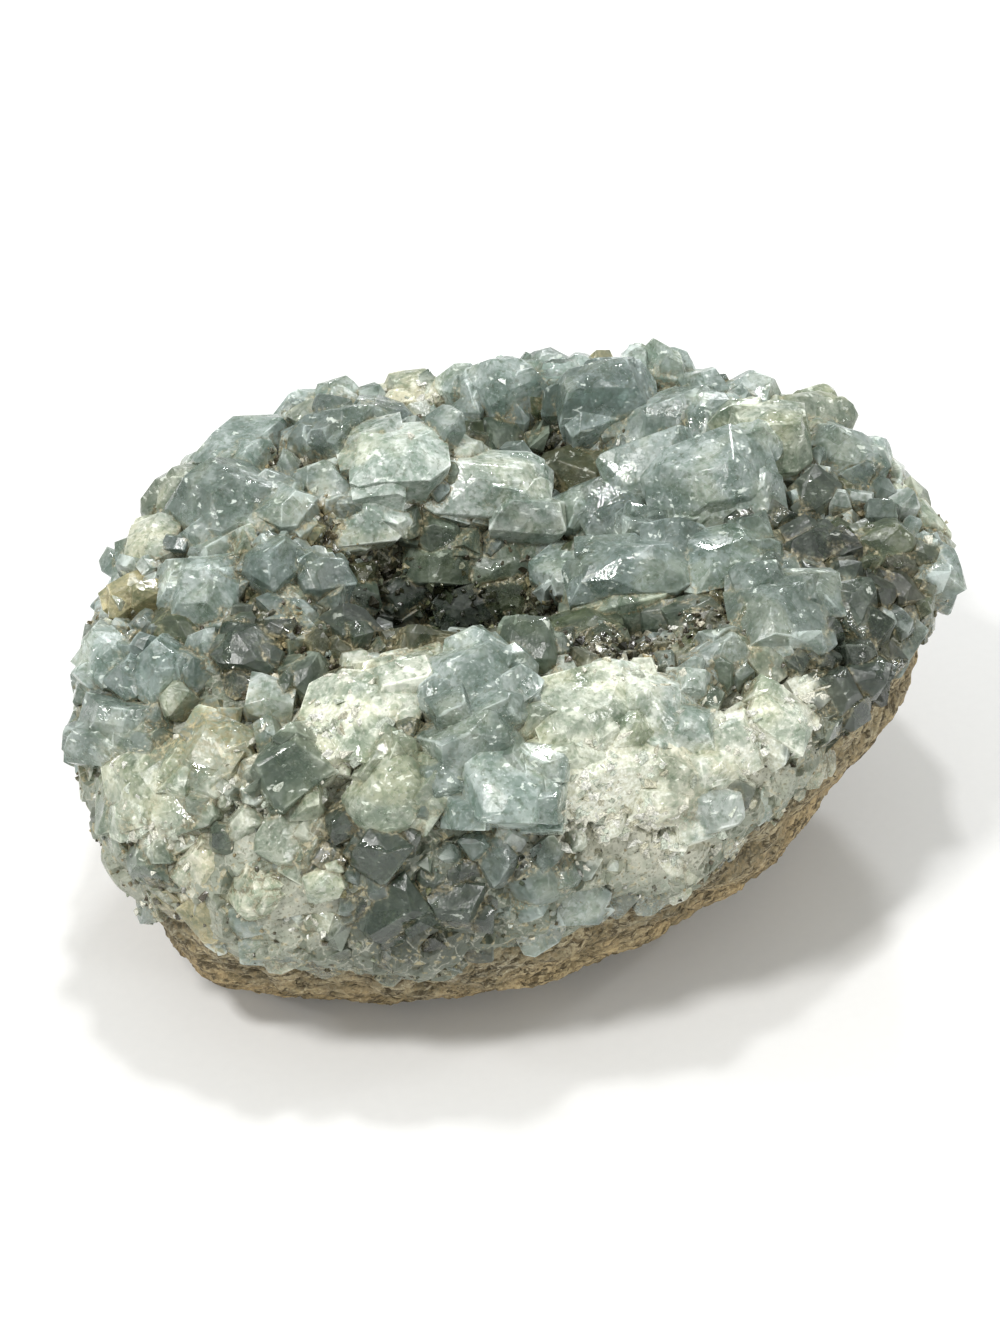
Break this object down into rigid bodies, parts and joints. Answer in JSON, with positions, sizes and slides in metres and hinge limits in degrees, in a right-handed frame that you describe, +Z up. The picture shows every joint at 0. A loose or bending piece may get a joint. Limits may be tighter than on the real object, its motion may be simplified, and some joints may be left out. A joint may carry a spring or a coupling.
{
  "type": "celestite geode",
  "caption": "Half geode that rests on a small flat spot: a stone rind under a crust of blocky blue-grey crystals around an open hollow.",
  "frame": {"origin": "middle of the small flat spot that the geode rests on", "axes": "+Z up out of the open, crystal-lined side, +X towards the wide right-hand end, -Y towards the front"},
  "size_m": [0.1415, 0.1045, 0.0674],
  "materials": {
    "stone_rind": "rough, granular tan-brown rock with thin layers",
    "crystal_crust": "glassy to frosted, partly clear blue-grey crystal"
  },
  "bodies": {
    "root": {"stone_rind": "stone_rind", "crystal_crust": "crystal_crust"}
  },
  "joints": []
}
